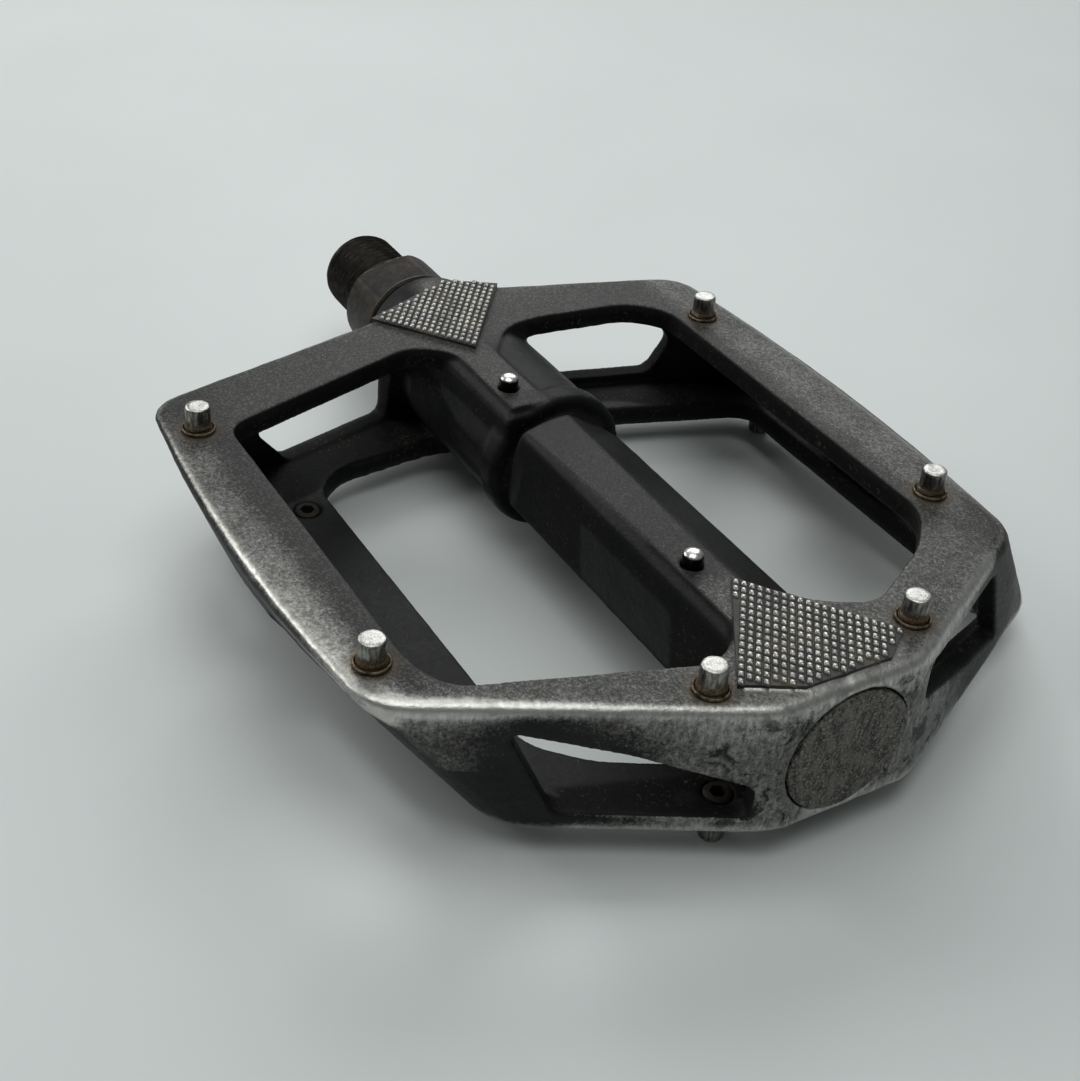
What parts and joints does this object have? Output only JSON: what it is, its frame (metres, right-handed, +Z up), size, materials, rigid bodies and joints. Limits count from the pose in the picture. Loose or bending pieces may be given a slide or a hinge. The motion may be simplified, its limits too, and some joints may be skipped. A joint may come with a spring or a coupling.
{
  "type": "flat bicycle pedal",
  "caption": "Flat bicycle pedal: open cast platform with raised grip pads and screw-in traction pins, turning on a threaded steel spindle.",
  "frame": {"origin": "centre of the spindle's flat threaded end face, on the spindle axis", "axes": "+X along the spindle from its threaded end outboard to the end cap, +Y along the direction of travel line of the level platform, +Z up, square to the platform's faces"},
  "size_m": [0.1436, 0.1176, 0.0304],
  "materials": {
    "painted_casting": "black paint worn to bare grey aluminium on its edges and outboard walls",
    "oxidised_steel": "dark brown oxidised steel, dull",
    "bearing_steel": "ground",
    "bronze": "plain",
    "rubber": "matte black",
    "cap_metal": "mottled dark grey, worn",
    "pin_steel": "worn bright on top, rusty at the foot",
    "pin_washer_steel": "brown rust film"
  },
  "bodies": {
    "spindle": {"spindle": "oxidised_steel", "bearing_inner_race": "bearing_steel", "lock_washer": "bearing_steel", "lock_nut": "bearing_steel"},
    "platform": {"platform_body": "painted_casting", "inboard_seal": "rubber", "inboard_bush": "bronze", "bearing_outer_race": "bearing_steel", "bearing_shield_inboard": "rubber", "bearing_shield_outboard": "rubber", "end_cap": "cap_metal", "cap_o_ring": "rubber", "traction_pin_top_1": "pin_steel", "traction_pin_top_2": "pin_steel", "traction_pin_top_3": "pin_steel", "traction_pin_top_4": "pin_steel", "traction_pin_top_5": "pin_steel", "traction_pin_top_6": "pin_steel", "traction_pin_bottom_1": "pin_steel", "traction_pin_bottom_2": "pin_steel", "traction_pin_bottom_3": "pin_steel", "traction_pin_bottom_4": "pin_steel", "traction_pin_bottom_5": "pin_steel", "traction_pin_bottom_6": "pin_steel", "pin_washer_top_1": "pin_washer_steel", "pin_washer_top_2": "pin_washer_steel", "pin_washer_top_3": "pin_washer_steel", "pin_washer_top_4": "pin_washer_steel", "pin_washer_top_5": "pin_washer_steel", "pin_washer_top_6": "pin_washer_steel", "pin_washer_bottom_1": "pin_washer_steel", "pin_washer_bottom_2": "pin_washer_steel", "pin_washer_bottom_3": "pin_washer_steel", "pin_washer_bottom_4": "pin_washer_steel", "pin_washer_bottom_5": "pin_washer_steel", "pin_washer_bottom_6": "pin_washer_steel", "bar_screw_top_1": "pin_steel", "bar_screw_top_2": "pin_steel", "bar_screw_bottom_1": "pin_steel", "bar_screw_bottom_2": "pin_steel"},
    "ball_set": {"ball_cage": "bronze", "bearing_ball_1": "bearing_steel", "bearing_ball_2": "bearing_steel", "bearing_ball_3": "bearing_steel", "bearing_ball_4": "bearing_steel", "bearing_ball_5": "bearing_steel", "bearing_ball_6": "bearing_steel", "bearing_ball_7": "bearing_steel", "bearing_ball_8": "bearing_steel", "bearing_ball_9": "bearing_steel"}
  },
  "joints": [
    {"name": "platform_spin", "type": "hinge", "parent": "spindle", "child": "platform", "pos_m": [0, 0, 0], "axis": [1, 0, 0], "continuous": true},
    {"name": "ball_set_spin", "type": "hinge", "parent": "spindle", "child": "ball_set", "pos_m": [0, 0, 0], "axis": [1, 0, 0], "continuous": true}
  ],
  "couplings": [
    {"joint": "ball_set_spin", "follows": "platform_spin", "ratio": 0.5958}
  ]
}
